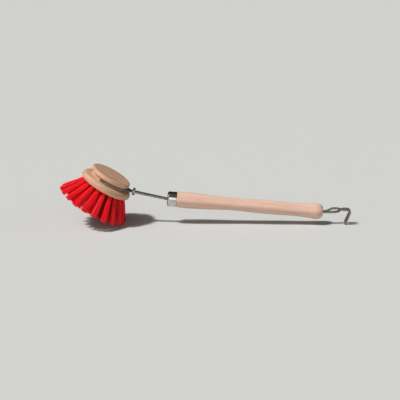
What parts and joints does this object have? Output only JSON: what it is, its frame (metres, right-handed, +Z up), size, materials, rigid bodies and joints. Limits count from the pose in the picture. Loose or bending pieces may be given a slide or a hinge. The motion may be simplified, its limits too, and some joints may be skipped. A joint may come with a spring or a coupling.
{
  "type": "dish brush",
  "caption": "Wooden dish brush with a turned handle, doubled wire stem with sliding collar and hanging hook, and a round clip-on head of fanned red nylon tufts.",
  "frame": {"origin": "middle of the footprint, on the surface that the brush rests on", "axes": "+Z up, +X from the head towards the hook, -Y towards the side that the picture shows"},
  "size_m": [0.2752, 0.073, 0.0576],
  "materials": {
    "beech": "turned and sanded, unvarnished",
    "plated_ferrule": "polished plate",
    "plated_collar": "dull plate",
    "spring_wire": "drawn wire",
    "red_nylon": "cut filaments",
    "staple_steel": "bare"
  },
  "bodies": {
    "grip": {"handle": "beech", "ferrule": "plated_ferrule", "near_strand": "spring_wire", "far_strand": "spring_wire", "hook_loop": "spring_wire"},
    "collar": {"collar": "plated_collar"},
    "near_arm": {"near_arm": "spring_wire"},
    "far_arm": {"far_arm": "spring_wire"},
    "head": {"head_base": "beech", "head_cap": "beech", "staples": "staple_steel", "tuft_centre": "red_nylon", "tuft_inner_01": "red_nylon", "tuft_inner_02": "red_nylon", "tuft_inner_03": "red_nylon", "tuft_inner_04": "red_nylon", "tuft_inner_05": "red_nylon", "tuft_inner_06": "red_nylon", "tuft_inner_07": "red_nylon", "tuft_inner_08": "red_nylon", "tuft_middle_01": "red_nylon", "tuft_middle_02": "red_nylon", "tuft_middle_03": "red_nylon", "tuft_middle_04": "red_nylon", "tuft_middle_05": "red_nylon", "tuft_middle_06": "red_nylon", "tuft_middle_07": "red_nylon", "tuft_middle_08": "red_nylon", "tuft_middle_09": "red_nylon", "tuft_middle_10": "red_nylon", "tuft_middle_11": "red_nylon", "tuft_middle_12": "red_nylon", "tuft_middle_13": "red_nylon", "tuft_middle_14": "red_nylon", "tuft_middle_15": "red_nylon", "tuft_middle_16": "red_nylon", "tuft_middle_17": "red_nylon", "tuft_middle_18": "red_nylon", "tuft_middle_19": "red_nylon", "tuft_middle_20": "red_nylon", "tuft_outer_01": "red_nylon", "tuft_outer_02": "red_nylon", "tuft_outer_03": "red_nylon", "tuft_outer_04": "red_nylon", "tuft_outer_05": "red_nylon", "tuft_outer_06": "red_nylon", "tuft_outer_07": "red_nylon", "tuft_outer_08": "red_nylon", "tuft_outer_09": "red_nylon", "tuft_outer_10": "red_nylon", "tuft_outer_11": "red_nylon", "tuft_outer_12": "red_nylon", "tuft_outer_13": "red_nylon", "tuft_outer_14": "red_nylon", "tuft_outer_15": "red_nylon", "tuft_outer_16": "red_nylon", "tuft_outer_17": "red_nylon", "tuft_outer_18": "red_nylon", "tuft_outer_19": "red_nylon", "tuft_outer_20": "red_nylon"}
  },
  "joints": [
    {"name": "collar_slide", "type": "slide", "parent": "grip", "child": "collar", "axis": [0.9763, 0, -0.2164], "range_m": [0, 0.028]},
    {"name": "near_arm_spread", "type": "hinge", "parent": "grip", "child": "near_arm", "pos_m": [-0.06863, -0.0012, 0.03133], "axis": [0.5, 0, 0.866], "range_deg": [0, 5]},
    {"name": "far_arm_spread", "type": "hinge", "parent": "grip", "child": "far_arm", "pos_m": [-0.06863, 0.0012, 0.03133], "axis": [-0.5, 0, -0.866], "range_deg": [0, 5]},
    {"name": "head_turn", "type": "hinge", "parent": "grip", "child": "head", "pos_m": [-0.09198, 0, 0.04281], "axis": [0.5, 0, 0.866], "continuous": true}
  ],
  "couplings": [
    {"joint": "near_arm_spread", "follows": "collar_slide", "rad_per_m": 3.1117},
    {"joint": "far_arm_spread", "follows": "collar_slide", "rad_per_m": 3.1117}
  ]
}
